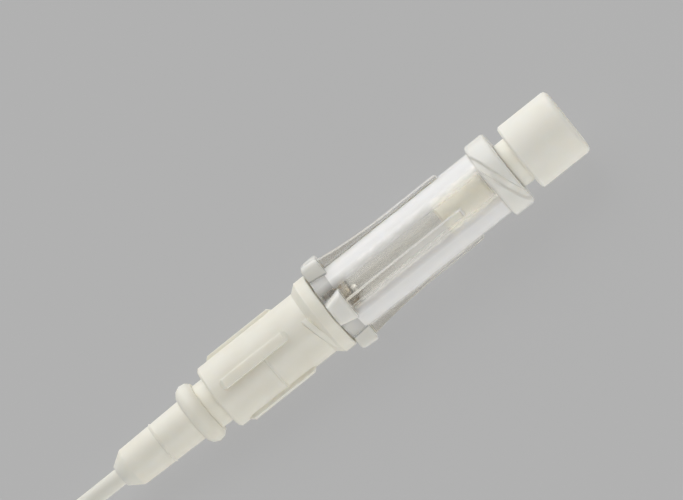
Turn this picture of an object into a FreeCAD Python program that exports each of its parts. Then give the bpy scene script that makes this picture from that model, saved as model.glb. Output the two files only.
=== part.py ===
"""Aspirating catheter over a steel needle, as one straight assembly of eight pieces, in millimetres.

The shaft's axis is X. The origin is where the catheter leaves the nose of its hub: the shaft runs
to -X and the hubs run to +X. Z is up. A roll angle turns a feature about X, from straight up towards -Y.
The needle pulls out of the catheter along +X, and the vent plug pulls out of the needle hub along +X.
"""

import FreeCAD
import Part
import math
import os

# Catheter tube
shaft_length = 70.0
tube_od = 1.67
tube_bore = 1.14
tip_taper = 3.4
tip_od = 1.21
tip_bore = 1.12
tip_bore_length = 2.0
tip_fullness = 0.045
side_hole_dia = 0.78
side_hole_from_tip = 6.2
side_hole_roll = 43.0

# Steel needle
needle_od = 1.07
needle_bore = 0.69
needle_reach = 2.85
bevel_angle = 28.0
lancet_roll = 32.0
lancet_angle = 36.0
eye_length = 0.68
eye_width = 0.36
eye_from_tube = 0.3
needle_above_floor = 0.5

# Metal eyelet that grips the tube in the hub
eyelet_bore = 1.2
eyelet_wall = 0.13
eyelet_sleeve = 3.4
eyelet_flare_od = 3.5

# Catheter hub
hub_nose_tip_od = 2.2
hub_nose_od = 3.9
hub_nose_end_od = 4.2
nose_cone_length = 1.3
nose_length = 8.25
nose_round = 0.35
nose_line_at = 4.85
line_width = 0.26
line_height = 0.1
bead_length = 1.8
bead_od = 6.15
bead_foot_height = 0.3
bead_flats = 4
neck_length = 1.25
neck_od = 4.65
barrel_length = 11.7
barrel_od = 6.55
barrel_edge = 0.2
collar_length = 1.15
collar_od = 7.75
collar_flank = 0.75
collar_edge = 0.1
grip_depth = 9.2
rib_count = 4
rib_width = 1.0
rib_height = 0.35
rib_from_shoulder = 1.1
rib_length = 7.6
rib_end_slope = 0.4
mark_from_shoulder = 5.7
start_thread_height = 0.4
start_thread_width = 0.5
start_thread_turn = 75.0

# Luer cones, shared by the two female sockets and the two male cones
luer_mouth_bore = 4.3
luer_taper = 0.06
luer_depth = 7.6
luer_clearance = 0.02
cone_lead_in = 0.2
luer_lead = 5.0
luer_starts = 2

# Needle hub
seat_gap = 0.1
cone_length = 7.0
ear_count = 4
ear_length = 1.8
ear_span = 9.3
ear_width = 2.1
ear_width_back = 3.0
ear_round = 0.45
ear_back_round = 0.3
clear_barrel_length = 18.2
clear_barrel_od = 6.6
fin_thickness = 0.7
fin_length = 13.05
fin_od = 7.34
fin_flare_od = 8.5
fin_flare_length = 7.5
fin_end_round = 0.35
lock_length = 2.2
lock_od = 7.75
lock_round = 0.28
lock_groove_width = 0.55
lock_groove_depth = 0.35
lock_groove_lead = 8.0
chamber_floor = 2.65
bond_dia = 2.2
bond_depth = 2.0
bond_creep = 0.12
bond_key = 0.02
glue_film = 0.02
mouth_chamfer = 0.12

# Vent plug and its filter
plug_gap = 0.05
stem_length = 7.65
stem_bore = 2.2
plug_neck_length = 1.2
plug_neck_od = 4.62
cap_length = 5.52
cap_od = 6.8
cap_front_edge = 0.18
cap_back_edge = 0.45
cap_recess_dia = 4.9
cap_recess_depth = 3.0
filter_dia = 3.2
filter_length = 1.8

# Flats that make up the small rounds of the ears, the lock and the cap
round_flats = 3

# Roll of each hub about the shaft
fin_roll = 45.0
rib_roll = 24.0

# Places along the shaft, from the tip to the cap
tube_end = -shaft_length
needle_tip = tube_end - needle_reach
bead_start = nose_length
neck_start = bead_start + bead_length
barrel_start = neck_start + neck_length
collar_start = barrel_start + barrel_length
hub_mouth = collar_start + collar_length
luer_floor = hub_mouth - luer_depth
ear_start = hub_mouth + seat_gap
ear_end = ear_start + ear_length
fin_end = ear_end + fin_length
lock_start = ear_start + clear_barrel_length
needle_hub_mouth = lock_start + lock_length
floor_at = ear_start + chamber_floor
well_bottom = floor_at - bond_depth
needle_end = floor_at + needle_above_floor
stem_end = needle_hub_mouth - stem_length
plug_neck_start = needle_hub_mouth + plug_gap
cap_start = plug_neck_start + plug_neck_length
cap_end = cap_start + cap_length
filter_end = cap_end - cap_recess_depth
filter_start = filter_end - filter_length

AXIS = FreeCAD.Vector(1, 0, 0)
ORIGIN = FreeCAD.Vector(0, 0, 0)
CUT_PAST = 1.0


def at(x, r):
    """A point of a turned outline: x along the shaft, r from its axis."""
    return FreeCAD.Vector(x, 0, r)


def outline_face(outline):
    """A flat face from (x, r) corners. ((x, r), (x, r)) is an arc through the first point to the second.

    ((x, r), (x, r), n) is the same arc in n flats, for the rounds that are too small to need more.
    """
    edges = []
    here = outline[0]
    for step in outline[1:] + [outline[0]]:
        if isinstance(step[0], tuple):
            arc = Part.Arc(at(*here), at(*step[0]), at(*step[1])).toShape()
            if len(step) == 3:
                edges += Part.makePolygon(arc.discretize(step[2] + 1)).Edges
            else:
                edges.append(arc)
            here = step[1]
        elif (at(*here) - at(*step)).Length > 1e-9:
            edges.append(Part.makeLine(at(*here), at(*step)))
            here = step
    return Part.Face(Part.Wire(edges))


def turned(outline):
    """A solid of revolution about the shaft's axis."""
    return outline_face(outline).revolve(ORIGIN, AXIS, 360)


def rod(x_start, x_end, radius):
    """A plain cylinder on the shaft's axis."""
    return Part.makeCylinder(radius, x_end - x_start, at(x_start, 0), AXIS)


def rolled(shape, angle):
    """A copy turned about the shaft's axis, from straight up towards -Y."""
    copy = shape.copy()
    copy.rotate(ORIGIN, AXIS, angle)
    return copy


def around(shape, count, roll):
    """Copies of a shape, evenly spaced about the shaft's axis."""
    return [rolled(shape, roll + k * 360.0 / count) for k in range(count)]


def plate(outline, thickness):
    """A flat plate standing on the shaft's axis: its outline is in x and z, its thickness is across y."""
    face = outline_face(outline)
    face.translate(FreeCAD.Vector(0, -thickness / 2.0, 0))
    return face.extrude(FreeCAD.Vector(0, thickness, 0))


def ring_edges(shape, x, radius):
    """The circular edges of a shape at one place along the shaft."""
    found = []
    for edge in shape.Edges:
        curve = edge.Curve
        if isinstance(curve, Part.Circle) and math.dist((curve.Center.x, curve.Radius), (x, radius)) < 1e-4:
            found.append(edge)
    return found


def luer_radius(x, mouth):
    """Radius of the female taper whose mouth is at mouth."""
    return (luer_mouth_bore - luer_taper * (mouth - x)) / 2.0


def luer_socket(mouth, floor):
    """The space inside a female luer taper, straight past its depth, with a chamfer at its mouth."""
    r_mouth = luer_radius(mouth, mouth)
    r_edge = luer_radius(mouth - mouth_chamfer, mouth)
    taper_end = mouth - luer_depth
    r_deep = luer_radius(taper_end, mouth)
    return turned([
        (floor, 0),
        (floor, r_deep),
        (taper_end, r_deep),
        (mouth - mouth_chamfer, r_edge),
        (mouth, r_mouth + mouth_chamfer),
        (mouth + CUT_PAST, r_mouth + mouth_chamfer),
        (mouth + CUT_PAST, 0),
    ])


def helix_ridge(x_start, lead, turn, r_low, r_high, width_low, width_high):
    """A ridge of trapezoid section, first at the top, that runs along a right-hand helix to +X."""
    path = Part.makeHelix(lead, lead * turn / 360.0, r_low)
    path.rotate(ORIGIN, FreeCAD.Vector(0, 1, 0), 90)
    path.rotate(ORIGIN, AXIS, 180)
    path.translate(FreeCAD.Vector(x_start, 0, 0))
    start = path.Edges[0].valueAt(path.Edges[0].FirstParameter)
    outward = FreeCAD.Vector(0, start.y, start.z).normalize()
    section = [
        start - AXIS * (width_low / 2.0),
        start - AXIS * (width_high / 2.0) + outward * (r_high - r_low),
        start + AXIS * (width_high / 2.0) + outward * (r_high - r_low),
        start + AXIS * (width_low / 2.0),
    ]
    sweep = Part.BRepOffsetAPI.MakePipeShell(path)
    sweep.setFrenetMode(True)
    sweep.add(Part.makePolygon(section + [section[0]]))
    sweep.build()
    sweep.makeSolid()
    return sweep.shape()


def catheter_tube():
    """Drawn plastic tube with a tapered tip and one side hole, opened out over the eyelet in its hub."""
    r_out = tube_od / 2.0
    r_in = tube_bore / 2.0
    r_sleeve = eyelet_bore / 2.0 + eyelet_wall
    swell = r_sleeve - r_in
    grip_end = grip_depth + eyelet_sleeve
    r_middle = (r_out + tip_od / 2.0) / 2.0 + tip_fullness
    tube = turned([
        (tube_end, tip_bore / 2.0),
        (tube_end, tip_od / 2.0),
        ((tube_end + tip_taper / 2.0, r_middle), (tube_end + tip_taper, r_out)),
        (0, r_out),
        (swell, r_out + swell),
        (grip_end, r_out + swell),
        (grip_end, r_sleeve),
        (swell, r_sleeve),
        (0, r_in),
        (tube_end + tip_bore_length, r_in),
        (tube_end + tip_bore_length - (tube_bore - tip_bore), tip_bore / 2.0),
    ])
    hole = Part.makeCylinder(side_hole_dia / 2.0, tube_od, at(tube_end + side_hole_from_tip, 0))
    return tube.cut(rolled(hole, side_hole_roll))


def catheter_eyelet():
    """Thin metal sleeve inside the tube's end, flared out to a funnel that seats in the hub."""
    r_in = eyelet_bore / 2.0
    r_out = r_in + eyelet_wall
    flare = eyelet_flare_od / 2.0 - r_out
    sleeve_end = grip_depth + eyelet_sleeve
    skin = eyelet_wall * math.sqrt(2.0)
    return turned([
        (grip_depth, r_in),
        (grip_depth, r_out),
        (sleeve_end, r_out),
        (sleeve_end + flare, r_out + flare),
        (sleeve_end + flare, r_out + flare - skin),
        (sleeve_end + skin - eyelet_wall, r_in),
    ])


def catheter_hub_outside():
    """The hub's turned outside, from its nose cone to its luer lock collar."""
    r_barrel = barrel_od / 2.0
    r_bead = bead_od / 2.0
    r_neck = neck_od / 2.0
    r_nose_end = hub_nose_end_od / 2.0
    bead_middle = bead_start + bead_length / 2.0
    r_collar = collar_od / 2.0
    slope = (hub_nose_end_od - hub_nose_od) / 2.0 / (nose_length - nose_cone_length)
    r_line = hub_nose_od / 2.0 + slope * (nose_line_at - nose_cone_length)
    body = turned([
        (0, 0),
        (0, hub_nose_tip_od / 2.0),
        (nose_cone_length, hub_nose_od / 2.0),
        (nose_line_at - line_width / 2.0, r_line),
        (nose_line_at, r_line + line_height),
        (nose_line_at + line_width / 2.0, r_line),
        (bead_start, r_nose_end),
        (bead_start, r_nose_end + bead_foot_height),
        ((bead_middle, r_bead), (neck_start, r_neck + bead_foot_height), bead_flats),
        (neck_start, r_neck),
        (barrel_start, r_neck),
        (barrel_start, r_barrel - barrel_edge),
        (barrel_start + barrel_edge, r_barrel),
        (collar_start - collar_flank, r_barrel),
        (collar_start, r_collar),
        (hub_mouth - collar_edge, r_collar),
        (hub_mouth, r_collar - collar_edge),
        (hub_mouth, 0),
    ])
    return body.makeFillet(nose_round, ring_edges(body, nose_cone_length, hub_nose_od / 2.0))


def hub_rib():
    """One lengthwise grip rib, straight up from the barrel, with round ends that slope down."""
    r_barrel = barrel_od / 2.0
    r_top = r_barrel + rib_height
    start = barrel_start + rib_from_shoulder
    end = start + rib_length
    half = rib_width / 2.0
    sides = Part.makeBox(rib_length - rib_width, rib_width, r_top, FreeCAD.Vector(start + half, -half, 0))
    ends = [Part.makeCylinder(half, r_top, FreeCAD.Vector(x, 0, 0)) for x in (start + half, end - half)]
    envelope = turned([
        (start, 0),
        (start, r_barrel),
        (start + rib_end_slope, r_top),
        (end - rib_end_slope, r_top),
        (end, r_barrel),
        (end, 0),
    ])
    return sides.fuse(ends).removeSplitter().common(envelope)


def hub_mark():
    """Fine raised line part way round the barrel, from one rib to the next."""
    x_mark = barrel_start + mark_from_shoulder
    r_barrel = barrel_od / 2.0
    line = outline_face([
        (x_mark - line_width / 2.0, r_barrel - line_height),
        (x_mark - line_width / 2.0, r_barrel),
        (x_mark, r_barrel + line_height),
        (x_mark + line_width / 2.0, r_barrel),
        (x_mark + line_width / 2.0, r_barrel - line_height),
    ])
    return rolled(line.revolve(ORIGIN, AXIS, 360.0 / rib_count), rib_roll)


def catheter_hub():
    """White moulded hub: nose, bead, neck, ribbed barrel and a female luer lock for the needle hub."""
    r_tube = tube_od / 2.0
    r_sleeve = eyelet_bore / 2.0 + eyelet_wall
    swell = r_sleeve - tube_bore / 2.0
    grip_end = grip_depth + eyelet_sleeve
    flare = eyelet_flare_od / 2.0 - r_sleeve
    r_flare = eyelet_flare_od / 2.0
    passage = turned([
        (-CUT_PAST, 0),
        (-CUT_PAST, r_tube),
        (0, r_tube),
        (swell, r_tube + swell),
        (grip_end, r_tube + swell),
        (grip_end, r_sleeve),
        (grip_end + flare, r_flare),
        (luer_floor + CUT_PAST, r_flare),
        (luer_floor + CUT_PAST, 0),
    ])
    outside = catheter_hub_outside().fuse(around(hub_rib(), rib_count, rib_roll) + [hub_mark()])
    r_barrel = barrel_od / 2.0
    thread = helix_ridge(
        collar_start - luer_lead * start_thread_turn / 360.0,
        luer_lead,
        start_thread_turn,
        r_barrel - start_thread_height,
        r_barrel + start_thread_height,
        2.0 * start_thread_width,
        start_thread_width,
    )
    outside = outside.fuse(around(thread, luer_starts, rib_roll))
    return outside.cut([passage, luer_socket(hub_mouth, luer_floor)]).removeSplitter()


def needle_cannula():
    """Steel tube ground to a lancet point, with a small side eye just ahead of the catheter's end."""
    r_out = needle_od / 2.0
    bore = rod(needle_tip - CUT_PAST, needle_end + CUT_PAST, needle_bore / 2.0)
    tube = rod(needle_tip, needle_end, r_out).cut(bore)
    reach = 4.0 * needle_od
    blank = Part.makeBox(3.0 * reach, 2.0 * reach, reach, FreeCAD.Vector(-reach, -reach, 0))
    bevel = blank.copy()
    bevel.rotate(ORIGIN, FreeCAD.Vector(0, 1, 0), -bevel_angle)
    bevel.translate(at(needle_tip, -r_out))
    tube = tube.cut(bevel)
    for side in (-1, 1):
        facet = blank.copy()
        facet.rotate(ORIGIN, FreeCAD.Vector(0, 1, 0), -lancet_angle)
        facet.translate(at(needle_tip, -r_out))
        facet.rotate(at(needle_tip, -r_out), AXIS, side * lancet_roll)
        tube = tube.cut(facet)
    eye_at = tube_end - eye_from_tube
    half = eye_width / 2.0
    corner = FreeCAD.Vector(eye_at - eye_length / 2.0 + half, -half, 0)
    slot = Part.makeBox(eye_length - eye_width, eye_width, r_out, corner)
    ends = [
        Part.makeCylinder(half, r_out, at(eye_at + side * (eye_length / 2.0 - half), 0))
        for side in (-1, 1)
    ]
    return rolled(tube.cut([slot] + ends), fin_roll)


def cannula_bond():
    """Ring of cured adhesive in the needle hub's well, which has crept up the needle as it set."""
    r_in = needle_od / 2.0
    r_out = bond_dia / 2.0 + bond_key
    return turned([
        (well_bottom, r_in),
        (well_bottom, r_out),
        (floor_at - bond_creep, r_out),
        (floor_at, r_in),
    ])


def ear_section(x, width):
    """The ear's outline square to the shaft, round at its two top corners."""
    half = width / 2.0 - ear_round
    top = ear_span / 2.0 - ear_round
    turns = [math.radians(90.0 * k / round_flats) for k in range(round_flats + 1)]
    corner = [(half + ear_round * math.cos(turn), top + ear_round * math.sin(turn)) for turn in turns]
    right = [(width / 2.0, 0)] + corner
    left = [(-y, z) for y, z in reversed(right)]
    points = [FreeCAD.Vector(x, y, z) for y, z in right + left]
    return Part.makePolygon(points + [points[0]])


def hub_ear():
    """One push-off ear, straight up, wider at the back than the front and round at every outer edge."""
    r_top = ear_span / 2.0
    sections = [ear_section(ear_start, ear_width), ear_section(ear_end, ear_width_back)]
    blank = Part.makeLoft(sections, True, True)
    bend = ear_round * (1.0 - math.sqrt(0.5))
    bend_back = ear_back_round * (1.0 - math.sqrt(0.5))
    side = plate([
        (ear_start, 0),
        (ear_start, r_top - ear_round),
        ((ear_start + bend, r_top - bend), (ear_start + ear_round, r_top), round_flats),
        (ear_end - ear_back_round, r_top),
        ((ear_end - bend_back, r_top - bend_back), (ear_end, r_top - ear_back_round), round_flats),
        (ear_end, 0),
    ], 2.0 * ear_width_back)
    return blank.common(side)


def hub_fin():
    """One lengthwise fin, straight up, that flares towards its ear."""
    r_fin = fin_od / 2.0
    rise = (fin_flare_od - fin_od) / 2.0
    flat_start = ear_end + fin_flare_length
    bend = fin_end_round * (1.0 - math.sqrt(0.5))
    return plate([
        (ear_end - ear_length / 2.0, 0),
        (ear_end - ear_length / 2.0, r_fin + rise),
        (ear_end, r_fin + rise),
        ((ear_end + fin_flare_length / 2.0, r_fin + rise / 4.0), (flat_start, r_fin)),
        (fin_end - fin_end_round, r_fin),
        ((fin_end - bend, r_fin - bend), (fin_end, r_fin - fin_end_round)),
        (fin_end, 0),
    ], fin_thickness)


def needle_hub():
    """Clear moulded hub: male luer cone, four ears and fins, a chamber and a female luer lock."""
    r_barrel = clear_barrel_od / 2.0
    cone_tip = ear_start - cone_length
    r_cone_root = luer_radius(ear_start, hub_mouth) - luer_clearance
    r_cone_tip = luer_radius(cone_tip, hub_mouth) - luer_clearance
    r_lock = lock_od / 2.0
    bend = lock_round * (1.0 - math.sqrt(0.5))
    body = turned([
        (cone_tip, 0),
        (cone_tip, r_cone_tip - cone_lead_in),
        (cone_tip + cone_lead_in, r_cone_tip),
        (ear_start, r_cone_root),
        (ear_start, r_barrel),
        (lock_start, r_barrel),
        (lock_start, r_lock - lock_round),
        ((lock_start + bend, r_lock - bend), (lock_start + lock_round, r_lock), round_flats),
        (needle_hub_mouth - lock_round, r_lock),
        ((needle_hub_mouth - bend, r_lock - bend), (needle_hub_mouth, r_lock - lock_round), round_flats),
        (needle_hub_mouth, 0),
    ])
    body = body.fuse(around(hub_ear(), ear_count, fin_roll) + around(hub_fin(), ear_count, fin_roll))
    groove_run = lock_length + 4.0 * lock_groove_width
    groove_turn = 360.0 * groove_run / lock_groove_lead
    groove = helix_ridge(
        lock_start - 2.0 * lock_groove_width,
        lock_groove_lead,
        groove_turn,
        r_lock - lock_groove_depth,
        r_lock + lock_groove_depth,
        lock_groove_width,
        2.0 * lock_groove_width,
    )
    grooves = around(groove, luer_starts, fin_roll - groove_turn / 2.0)
    well = rod(well_bottom, floor_at + CUT_PAST, bond_dia / 2.0)
    bore = rod(cone_tip - CUT_PAST, floor_at, needle_od / 2.0 + glue_film)
    chamber = luer_socket(needle_hub_mouth, floor_at)
    return body.cut(grooves + [well, bore, chamber]).removeSplitter()


def vent_plug():
    """White plug: a tapered stem in the needle hub, a neck and a round cap with a recess for the filter."""
    r_stem_end = luer_radius(stem_end, needle_hub_mouth) - luer_clearance
    r_stem_root = luer_radius(plug_neck_start, needle_hub_mouth) - luer_clearance
    r_neck = plug_neck_od / 2.0
    r_bore = stem_bore / 2.0
    r_filter = filter_dia / 2.0
    r_recess = cap_recess_dia / 2.0
    r_cap = cap_od / 2.0
    bend = cap_back_edge * (1.0 - math.sqrt(0.5))
    return turned([
        (stem_end, r_bore),
        (stem_end, r_stem_end - cone_lead_in),
        (stem_end + cone_lead_in, r_stem_end),
        (plug_neck_start, r_stem_root),
        (plug_neck_start, r_neck),
        (cap_start, r_neck),
        (cap_start, r_cap - cap_front_edge),
        (cap_start + cap_front_edge, r_cap),
        (cap_end - cap_back_edge, r_cap),
        ((cap_end - bend, r_cap - bend), (cap_end, r_cap - cap_back_edge), round_flats),
        (cap_end, r_recess + cap_front_edge),
        (cap_end - cap_front_edge, r_recess),
        (filter_end, r_recess),
        (filter_end, r_filter),
        (filter_start, r_filter),
        (filter_start, r_bore),
    ])


def vent_filter():
    """Porous disc pressed into the plug: it lets air out and holds liquid back."""
    return rod(filter_start, filter_end, filter_dia / 2.0)


def main():
    pieces = [
        catheter_tube,
        catheter_hub,
        catheter_eyelet,
        needle_cannula,
        cannula_bond,
        needle_hub,
        vent_plug,
        vent_filter,
    ]
    os.makedirs("parts", exist_ok=True)
    for piece in pieces:
        shape = piece()
        name = piece.__name__
        solids = shape.Solids
        print(name, len(solids), "solid", shape.isValid(), round(shape.Volume, 3), "mm3")
        shape.exportStep("parts/" + name + ".step")


main()
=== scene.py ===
"""Aspirating catheter needle: materials, fine moulded detail, floor, light and camera, in metres.

The shaft's axis is X, with the needle's point at -X and the vent plug at +X, and Z is up. The needle hub rests on two
of its four ears and the needle's point rests on the floor, so the floor is a little lower at the hub than at the point.
"""

import math

import bpy
from mathutils import Matrix, Vector


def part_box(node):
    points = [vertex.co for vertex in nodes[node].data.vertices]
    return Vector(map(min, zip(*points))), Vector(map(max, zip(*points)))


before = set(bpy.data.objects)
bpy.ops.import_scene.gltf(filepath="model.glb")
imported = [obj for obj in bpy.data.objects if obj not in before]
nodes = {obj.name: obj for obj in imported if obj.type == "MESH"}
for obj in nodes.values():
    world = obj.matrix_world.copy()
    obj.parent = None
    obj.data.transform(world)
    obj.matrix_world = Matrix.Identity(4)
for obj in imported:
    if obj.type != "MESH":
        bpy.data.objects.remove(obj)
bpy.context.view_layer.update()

MM = 0.001

# A radius that lies beyond every piece
BEYOND = 1.0

# The photograph's frame and how the hubs lie in it: its middle is so far along the axis and above it in the picture
PHOTO_WIDTH_PX = 683
PX_PER_MM = 11.15
AXIS_TILT = math.radians(38.6)
CENTRE_ALONG = 28.27 * MM
CENTRE_ABOVE = 3.53 * MM
CAMERA_RISE = 54.0
CAMERA_YAW = math.radians(4.0)
LENS_MM = 300.0
SENSOR_MM = 36.0
CLIP_NEAR = 0.01
CLIP_FAR = 50.0

# Edges sharper than this stay sharp in the smooth shading, and points nearer than this are one
SHARP_ANGLE = math.radians(32.0)
SAME_POINT = 1e-7

# Colours, linear, each as the two ends of its faint mottle
HUB_WHITES = ((0.85, 0.822, 0.722, 1.0), (0.88, 0.857, 0.765, 1.0))
PLUG_WHITES = ((0.9, 0.877, 0.795, 1.0), (0.92, 0.902, 0.825, 1.0))
TUBE_MILKS = ((0.79, 0.77, 0.69, 1.0), (0.84, 0.825, 0.745, 1.0))
STEELS = ((0.5, 0.49, 0.47, 1.0), (0.64, 0.63, 0.61, 1.0))
EYELET_GREYS = ((0.52, 0.5, 0.45, 1.0), (0.62, 0.6, 0.55, 1.0))
RESINS = ((0.8, 0.74, 0.62, 1.0), (0.24, 0.16, 0.08, 1.0))
FILTER_GREYS = ((0.84, 0.83, 0.79, 1.0), (0.42, 0.41, 0.38, 1.0))

# The noise at which the pale resin turns into a dark pool
RESIN_POOLS = (0.56, 0.66)

# The clear plastic: colours across a wall, in thick places and under the painted edge highlight, a painted shade for
# the webs of the fins, and between the ears
CLEAR_TINT = (0.99, 0.976, 0.935, 1.0)
CLEAR_MILK_TINT = (0.985, 0.95, 0.865, 1.0)
CLEAR_FIN_SHADE = (0.8, 0.77, 0.7, 1.0)
CLEAR_WINDOW_TINT = (0.95, 0.94, 0.91, 1.0)
CLEAR_TINT_STOPS = (0.1, 0.8)

# Its walls: how milky they are when seen across and when seen along, and the Layer Weights where the change lies
CLEAR_LAYER_BLEND = 0.4
CLEAR_WALL_MILK = (0.06, 0.92)
CLEAR_WALL_STOPS = (0.045, 0.19)

# Its edges: rounding radius, the cosines of the turn of the surface at which milk starts and is full, and how milky
# they get; this milk is a painted highlight for the light that rounded clear edges catch
CLEAR_EDGE = 0.22 * MM
CLEAR_EDGE_TURN = (0.98, 0.86)
CLEAR_EDGE_HIGHLIGHT = 0.9

# Its fins: root radius, start and end, and where the painted shade of their webs near the ears ends and turns to milk
CLEAR_FIN_ROOT = 3.6 * MM
CLEAR_FINS = (26.3 * MM, 42.2 * MM)
CLEAR_FIN_FADE = (34.0 * MM, 29.5 * MM)
CLEAR_FIN_MILK = 0.3

# Its thick rims, each as start, end and inner radius
CLEAR_RIMS = ((24.25 * MM, 26.05 * MM, 3.5 * MM), (42.45 * MM, 44.65 * MM, 2.6 * MM))
CLEAR_RIM_MILK = 0.93

# The wall between the ears as start, end and outer radius, and the share of a wall's milk that it lacks
CLEAR_WINDOW = (24.3 * MM, 25.75 * MM, 3.35 * MM)
CLEAR_WINDOW_LOSS = 0.45

# Its bore, which is frosted and not milky
CLEAR_BORE = 2.45 * MM
CLEAR_BORE_ROUGHNESS = 0.24
CLEAR_ROUGHNESS = 0.15

# Where the hub's ears touch the floor, how far under them it lies, and how far it reaches
EAR_X = 25.0 * MM
FLOOR_GAP = 0.01 * MM
FLOOR_REACH = 6.0

# The floor as it is seen, part even and part lit, and as it lights the object, and the even part of each of the two
FLOOR_GREY = (0.445, 0.445, 0.445, 1.0)
FLOOR_LIT = (0.53, 0.53, 0.53, 1.0)
FLOOR_BOUNCE = (0.95, 0.945, 0.93, 1.0)
FLOOR_EVEN = 0.86
FLOOR_FILL = 0.52

# Lobes of light across the shaft: angle, how narrow and strength
TENT_LIGHTS = ((150.0, 3.0, 1.75), (122.0, 8.0, 2.2), (0.0, 10.0, 4.9), (90.0, 2.0, 0.25))

# The pale walls that gloss and glass show, and the share of the lobes that is left when seen straight through glass
TENT_WALLS = 0.45
TENT_THROUGH = 0.7


class Graph:
    """A node tree, and short ways to add nodes to it."""

    def __init__(self, tree):
        self.tree = tree

    def node(self, kind, inputs=None, **settings):
        """A new node with its settings, and with inputs that are values or other nodes' outputs."""
        made = self.tree.nodes.new(kind)
        for key, value in settings.items():
            setattr(made, key, value)
        for key, value in (inputs or {}).items():
            self.feed(made.inputs[key], value)
        return made

    def feed(self, socket, value):
        """Joins an input to an output, or sets its value."""
        if isinstance(value, bpy.types.NodeSocket):
            self.tree.links.new(value, socket)
        else:
            socket.default_value = value

    def step(self, operation, first, second=0.0, clamp=False):
        """One step of arithmetic."""
        return self.node("ShaderNodeMath", {0: first, 1: second}, operation=operation, use_clamp=clamp).outputs[0]

    def plus(self, first, second):
        return self.step("ADD", first, second)

    def minus(self, first, second):
        return self.step("SUBTRACT", first, second)

    def times(self, first, second):
        return self.step("MULTIPLY", first, second)

    def larger(self, first, second):
        return self.step("MAXIMUM", first, second)

    def dot(self, first, second):
        """The dot product of two vectors."""
        return self.node("ShaderNodeVectorMath", {0: first, 1: second}, operation="DOT_PRODUCT").outputs["Value"]

    def slope(self, value, start, end, at_start=0.0, at_end=1.0):
        """A number that goes from at_start to at_end as value goes from start to end, and stays there beyond them."""
        inputs = {"Value": value, "From Min": start, "From Max": end, "To Min": at_start, "To Max": at_end}
        return self.node("ShaderNodeMapRange", inputs).outputs["Result"]

    def blend(self, share, first, second):
        """One colour that turns into another as share goes from 0 to 1."""
        return self.node("ShaderNodeMix", {0: share, 6: first, 7: second}, data_type="RGBA").outputs[2]


class Shader(Graph):
    """A material with one Principled shader, and textures that are sized in metres."""

    def __init__(self, name, **values):
        self.material = bpy.data.materials.new(name)
        self.material.use_nodes = True
        super().__init__(self.material.node_tree)
        self.shader = self.tree.nodes["Principled BSDF"]
        for socket, value in values.items():
            self.shader.inputs[socket.replace("_", " ")].default_value = value
        self.place = self.node("ShaderNodeTexCoord").outputs["Object"]

    def drive(self, socket, value):
        """Joins one of the Principled shader's inputs to an output."""
        self.feed(self.shader.inputs[socket], value)

    def grid(self, size, along=1.0):
        """Coordinates that count cells of size metres, and along times as many of them along the shaft."""
        scale = (along / size, 1.0 / size, 1.0 / size)
        return self.node("ShaderNodeMapping", {"Vector": self.place, "Scale": scale}).outputs["Vector"]

    def noise(self, size, detail=3.0, along=1.0):
        """Noise whose grains are about size metres across, and longer along the shaft where along is under 1."""
        inputs = {"Vector": self.grid(size, along), "Scale": 1.0, "Detail": detail}
        return self.node("ShaderNodeTexNoise", inputs).outputs["Fac"]

    def grains(self, size):
        """The distance from the middles of packed grains that are about size metres across."""
        return self.node("ShaderNodeTexVoronoi", {"Vector": self.grid(size), "Scale": 1.0}).outputs["Distance"]

    def ramp(self, value, low, high, at_low=0.3, at_high=0.7):
        """A number or colour that goes from low to high as value goes from at_low to at_high."""
        made = self.node("ShaderNodeValToRGB", {"Fac": value})
        stops = made.color_ramp.elements
        for stop, position, colour in ((stops[0], at_low, low), (stops[1], at_high, high)):
            stop.position = position
            stop.color = colour if isinstance(colour, tuple) else (colour, colour, colour, 1.0)
        return made.outputs["Color"]

    def between(self, value, low, high, soft=0.2 * MM):
        """1 where value lies between low and high and 0 elsewhere, with soft ends outside them."""
        return self.times(self.slope(value, low - soft, low), self.slope(value, high + soft, high))

    def bump(self, height, depth, under=None):
        """Bump of about depth metres from a 0 to 1 height, over another bump or rounded edge."""
        inputs = {"Height": height, "Distance": depth, "Strength": 1.0}
        if under is not None:
            inputs["Normal"] = under
        return self.node("ShaderNodeBump", inputs).outputs["Normal"]

    def soft_edges(self, radius):
        """Normals that round every edge by about radius metres."""
        return self.node("ShaderNodeBevel", {"Radius": radius}, samples=4).outputs["Normal"]


def moulded_white(name, whites, roughness, scatter):
    """Milky moulded plastic, a little see-through, with the faint texture of its mould."""
    m = Shader(
        name,
        Roughness=roughness,
        IOR=1.5,
        Subsurface_Weight=scatter,
        Subsurface_Scale=0.8 * MM,
        Subsurface_Radius=(1.0, 0.92, 0.8),
    )
    m.drive("Base Color", m.ramp(m.noise(2.6 * MM, detail=2.0), *whites))
    m.drive("Roughness", m.ramp(m.noise(0.5 * MM), roughness - 0.05, roughness + 0.06))
    grain = m.noise(0.07 * MM)
    drag = m.noise(0.5 * MM, detail=2.0, along=0.12)
    m.drive("Normal", m.bump(grain, 0.0012 * MM, m.bump(drag, 0.004 * MM, m.soft_edges(0.07 * MM))))
    return m.material


def drawn_tube():
    """Extruded fluoropolymer: milky, waxy, with faint lengthwise draw lines."""
    m = Shader(
        "catheter_plastic",
        IOR=1.4,
        Subsurface_Weight=0.35,
        Subsurface_Scale=0.3 * MM,
        Subsurface_Radius=(1.0, 0.94, 0.84),
    )
    m.drive("Base Color", m.ramp(m.noise(1.8 * MM, detail=2.0, along=0.35), *TUBE_MILKS))
    m.drive("Roughness", m.ramp(m.noise(0.3 * MM, along=0.1), 0.34, 0.44))
    lines = m.noise(0.06 * MM, detail=2.0, along=0.01)
    m.drive("Normal", m.bump(lines, 0.0007 * MM, m.soft_edges(0.04 * MM)))
    return m.material


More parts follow.
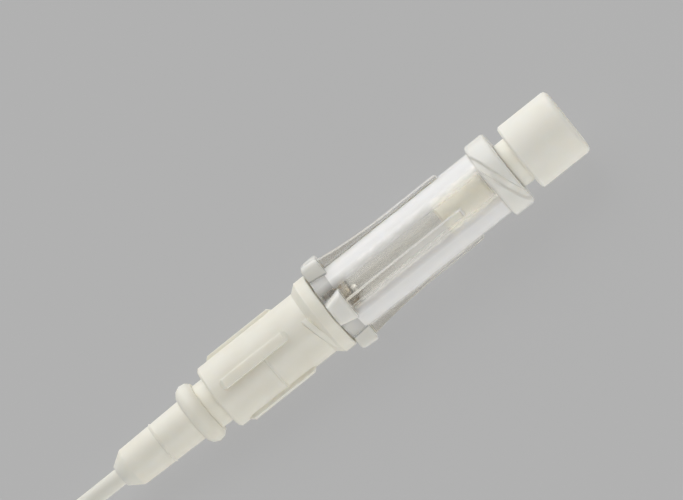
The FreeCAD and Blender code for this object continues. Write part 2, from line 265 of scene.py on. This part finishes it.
def clear_plastic():
    """Natural moulded polymer: clear across a wall, milky along it and in the rims, with milk along its edges as a
    painted highlight, a painted shade in the fin webs near the ears, and a frosted bore.
    """
    m = Shader(
        "hub_clear",
        Base_Color=CLEAR_TINT,
        IOR=1.45,
        Subsurface_Weight=0.7,
        Subsurface_Scale=0.35 * MM,
        Subsurface_Radius=(1.0, 0.95, 0.88),
    )
    place = m.node("ShaderNodeSeparateXYZ", {"Vector": m.place}).outputs
    along = place["X"]
    radius = m.step("SQRT", m.plus(m.times(place["Z"], place["Z"]), m.times(place["Y"], place["Y"])))

    # The wall between the ears
    start, end, outer = CLEAR_WINDOW
    window = m.times(m.between(along, start, end, 0.1 * MM), m.step("LESS_THAN", radius, outer))

    # Edges, where the rounded surface turns away from the true one, which get milk as a painted highlight for the light
    # that rounded clear edges catch
    rounded = m.soft_edges(CLEAR_EDGE)
    edge = m.slope(m.dot(rounded, m.node("ShaderNodeNewGeometry").outputs["Normal"]), *CLEAR_EDGE_TURN)

    # Fins, whose webs get a painted shade near the ears and are milky farther on
    fins = m.times(m.between(radius, CLEAR_FIN_ROOT, BEYOND), m.between(along, *CLEAR_FINS))
    dark = m.times(fins, m.slope(along, *CLEAR_FIN_FADE))

    # Milk of the thick places, and along the edges milk as a painted highlight
    milk_and_edge_highlight = m.larger(m.times(edge, CLEAR_EDGE_HIGHLIGHT), m.times(m.minus(fins, dark), CLEAR_FIN_MILK))
    for start, end, inner in CLEAR_RIMS:
        rim = m.times(m.between(along, start, end), m.between(radius, inner, BEYOND))
        milk_and_edge_highlight = m.larger(milk_and_edge_highlight, m.times(rim, CLEAR_RIM_MILK))

    # The milky colour goes on the edges too, as part of their painted highlight
    tint = m.blend(window, m.ramp(milk_and_edge_highlight, CLEAR_TINT, CLEAR_MILK_TINT, *CLEAR_TINT_STOPS), CLEAR_WINDOW_TINT)
    # Painted shade: the fin webs near the ears are coloured darker, apart from their edges
    web = m.times(dark, m.minus(1.0, edge))
    m.drive("Base Color", m.blend(web, tint, CLEAR_FIN_SHADE))

    facing = m.node("ShaderNodeLayerWeight", {"Blend": CLEAR_LAYER_BLEND}).outputs["Facing"]
    wall = m.ramp(facing, *CLEAR_WALL_MILK, *CLEAR_WALL_STOPS)
    wall = m.times(wall, m.minus(1.0, m.times(window, CLEAR_WINDOW_LOSS)))
    outside = m.between(radius, CLEAR_BORE, BEYOND, 0.1 * MM)
    m.drive("Transmission Weight", m.minus(1.0, m.times(m.larger(wall, milk_and_edge_highlight), outside)))
    m.drive("Roughness", m.ramp(outside, CLEAR_BORE_ROUGHNESS, CLEAR_ROUGHNESS, 0.0, 1.0))
    flow = m.noise(1.1 * MM, detail=2.0, along=0.15)
    m.drive("Normal", m.bump(flow, 0.004 * MM, rounded))
    return m.material


def ground_steel():
    """Drawn and electropolished steel tube, with fine lines along it."""
    m = Shader("needle_steel", Metallic=1.0, Anisotropic=0.4)
    m.drive("Base Color", m.ramp(m.noise(0.4 * MM), *STEELS))
    m.drive("Roughness", m.ramp(m.noise(0.12 * MM, along=0.1), 0.16, 0.3))
    lines = m.noise(0.03 * MM, detail=2.0, along=0.02)
    m.drive("Normal", m.bump(lines, 0.0012 * MM, m.soft_edges(0.02 * MM)))
    return m.material


def eyelet_metal():
    """Thin drawn metal sleeve."""
    m = Shader("eyelet_metal", Metallic=1.0)
    m.drive("Base Color", m.ramp(m.noise(0.6 * MM), *EYELET_GREYS))
    m.drive("Roughness", m.ramp(m.noise(0.2 * MM), 0.22, 0.38))
    m.drive("Normal", m.bump(m.noise(0.1 * MM), 0.003 * MM, m.soft_edges(0.03 * MM)))
    return m.material


def set_resin():
    """Cured adhesive: pale and see-through, with a few dark amber pools and small bubbles."""
    m = Shader("bond_resin", IOR=1.5, Roughness=0.15)
    pools = m.noise(0.55 * MM, detail=1.0)
    m.drive("Base Color", m.ramp(pools, *RESINS, *RESIN_POOLS))
    m.drive("Transmission Weight", m.ramp(pools, 0.75, 0.15, *RESIN_POOLS))
    bubbles = m.ramp(m.grains(0.25 * MM), 0.0, 1.0, 0.05, 0.3)
    m.drive("Normal", m.bump(bubbles, 0.01 * MM))
    return m.material


def sintered_filter():
    """Sintered porous plastic: packed grains with dark pores."""
    m = Shader("filter_porous", Roughness=0.85, Subsurface_Weight=0.3, Subsurface_Scale=0.3 * MM)
    grains = m.grains(0.13 * MM)
    m.drive("Base Color", m.ramp(grains, *FILTER_GREYS, 0.45, 0.85))
    m.drive("Normal", m.bump(m.ramp(grains, 1.0, 0.0, 0.1, 0.8), 0.04 * MM))
    return m.material


def smooth_by_angle():
    """A modifier's node group that joins the faces of a solid and shades it smooth up to SHARP_ANGLE."""
    group = bpy.data.node_groups.new("smooth_by_angle", "GeometryNodeTree")
    for side in ("INPUT", "OUTPUT"):
        group.interface.new_socket("Geometry", in_out=side, socket_type="NodeSocketGeometry")
    g = Graph(group)
    solid = g.node("NodeGroupInput").outputs[0]
    joined = g.node("GeometryNodeMergeByDistance", {"Geometry": solid, "Distance": SAME_POINT}).outputs[0]
    faces = g.node("GeometryNodeSetShadeSmooth", {"Geometry": joined}, domain="FACE").outputs[0]
    angle = g.node("GeometryNodeInputMeshEdgeAngle").outputs["Unsigned Angle"]
    sharp = g.step("GREATER_THAN", angle, SHARP_ANGLE)
    inputs = {"Geometry": faces, "Selection": sharp, "Shade Smooth": False}
    edges = g.node("GeometryNodeSetShadeSmooth", inputs, domain="EDGE").outputs[0]
    g.node("NodeGroupOutput", {0: edges})
    return group


def dress(name, material, smoothing):
    """Gives a CAD node its material and smooth shading."""
    mesh = nodes[name].data
    mesh.materials.clear()
    mesh.materials.append(material)
    nodes[name].modifiers.new("smooth", "NODES").node_group = smoothing


smoothing = smooth_by_angle()
for name, material in (
    ("catheter_hub", moulded_white("hub_white", HUB_WHITES, 0.36, 0.55)),
    ("vent_plug", moulded_white("plug_white", PLUG_WHITES, 0.42, 0.6)),
    ("catheter_tube", drawn_tube()),
    ("needle_hub", clear_plastic()),
    ("needle_cannula", ground_steel()),
    ("catheter_eyelet", eyelet_metal()),
    ("cannula_bond", set_resin()),
    ("vent_filter", sintered_filter()),
):
    dress(name, material, smoothing)


# Floor

def seen_directly(g):
    """1 for rays from the camera, also by way of metal or plastic, and 0 for light that a matt surface spreads."""
    path = g.node("ShaderNodeLightPath").outputs
    seen = path["Is Camera Ray"]
    for operation, other in (("ADD", "Is Glossy Ray"), ("ADD", "Is Transmission Ray"), ("SUBTRACT", "Diffuse Depth")):
        seen = g.step(operation, seen, path[other], clamp=True)
    return seen


def floor_paint():
    """A plain grey that keeps a faint shadow, and that lights the object from below as pale paper does."""
    made = bpy.data.materials.new("floor_grey")
    made.use_nodes = True
    made.node_tree.nodes.clear()
    g = Graph(made.node_tree)
    seen = seen_directly(g)
    lit = g.node("ShaderNodeBsdfDiffuse", {"Color": g.blend(seen, FLOOR_BOUNCE, FLOOR_LIT)})
    glow = g.node("ShaderNodeEmission", {"Color": g.blend(seen, FLOOR_BOUNCE, FLOOR_GREY)})
    share = g.slope(seen, 0.0, 1.0, FLOOR_FILL, FLOOR_EVEN)
    mix = g.node("ShaderNodeMixShader", {"Fac": share, 1: lit.outputs[0], 2: glow.outputs[0]})
    g.node("ShaderNodeOutputMaterial", {"Surface": mix.outputs[0]})
    return made


def floor():
    """A wide plain floor that touches the lowest ears and the needle's point."""
    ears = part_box("needle_hub")[0]
    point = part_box("needle_cannula")[0]
    fall = (point.z - ears.z) / (EAR_X - point.x)
    along = Vector((FLOOR_REACH, 0.0, -fall * FLOOR_REACH))
    aside = Vector((0.0, FLOOR_REACH, 0.0))
    middle = Vector((EAR_X, 0.0, ears.z - FLOOR_GAP))
    corners = (middle - along - aside, middle + along - aside, middle + along + aside, middle - along + aside)
    mesh = bpy.data.meshes.new("floor")
    mesh.from_pydata([tuple(c) for c in corners], [], [(0, 1, 2, 3)])
    mesh.materials.append(floor_paint())
    plane = bpy.data.objects.new("floor", mesh)
    bpy.context.scene.collection.objects.link(plane)


floor()


# Light

def across(angle):
    """The unit vector square to the shaft at an angle over the near floor: 0 is near, 90 is up and 180 is far."""
    a = math.radians(angle)
    return Vector((0.0, -math.cos(a), math.sin(a)))


def tent():
    """Broad soft light from the far side and, lower, from the near side, with the floor's grey behind it all."""
    made = bpy.data.worlds.new("tent")
    made.use_nodes = True
    made.node_tree.nodes.clear()
    g = Graph(made.node_tree)
    where = g.node("ShaderNodeTexCoord").outputs["Generated"]
    path = g.node("ShaderNodeLightPath").outputs
    total = 0.0
    for angle, narrow, strength in TENT_LIGHTS:
        lobe = g.step("POWER", g.larger(g.dot(where, across(angle)), 0.0), narrow)
        total = g.plus(total, g.times(lobe, strength))
    through = g.step("SUBTRACT", path["Is Transmission Ray"], path["Diffuse Depth"], clamp=True)
    total = g.times(total, g.slope(through, 0.0, 1.0, 1.0, TENT_THROUGH))
    for kind in ("Is Glossy Ray", "Is Transmission Ray"):
        total = g.plus(total, g.times(path[kind], TENT_WALLS))
    light = g.node("ShaderNodeBackground", {"Strength": total}).outputs[0]
    behind = g.node("ShaderNodeBackground", {"Color": FLOOR_GREY}).outputs[0]
    mix = g.node("ShaderNodeMixShader", {"Fac": path["Is Camera Ray"], 1: light, 2: behind})
    g.node("ShaderNodeOutputWorld", {"Surface": mix.outputs[0]})
    bpy.context.scene.world = made


tent()


# Camera

def camera():
    """The photograph's view: from above one side, with the axis rising to the upper right."""
    shaft = Vector((1.0, 0.0, 0.0))
    back = across(CAMERA_RISE) * math.cos(CAMERA_YAW) + shaft * math.sin(CAMERA_YAW)
    along = (shaft - back * shaft.dot(back)).normalized()
    below = along.cross(back)
    right = along * math.cos(AXIS_TILT) + below * math.sin(AXIS_TILT)
    up = along * math.sin(AXIS_TILT) - below * math.cos(AXIS_TILT)
    target = shaft * CENTRE_ALONG - below * CENTRE_ABOVE
    distance = PHOTO_WIDTH_PX / PX_PER_MM * MM * LENS_MM / SENSOR_MM
    data = bpy.data.cameras.new("camera")
    data.sensor_width = SENSOR_MM
    data.lens = LENS_MM
    data.clip_start = CLIP_NEAR
    data.clip_end = CLIP_FAR
    eye = bpy.data.objects.new("camera", data)
    turn = Matrix((right, up, back)).transposed().to_4x4()
    eye.matrix_world = Matrix.Translation(target + back * distance) @ turn
    bpy.context.scene.collection.objects.link(eye)
    bpy.context.scene.camera = eye


camera()
bpy.context.scene.view_settings.view_transform = "Standard"
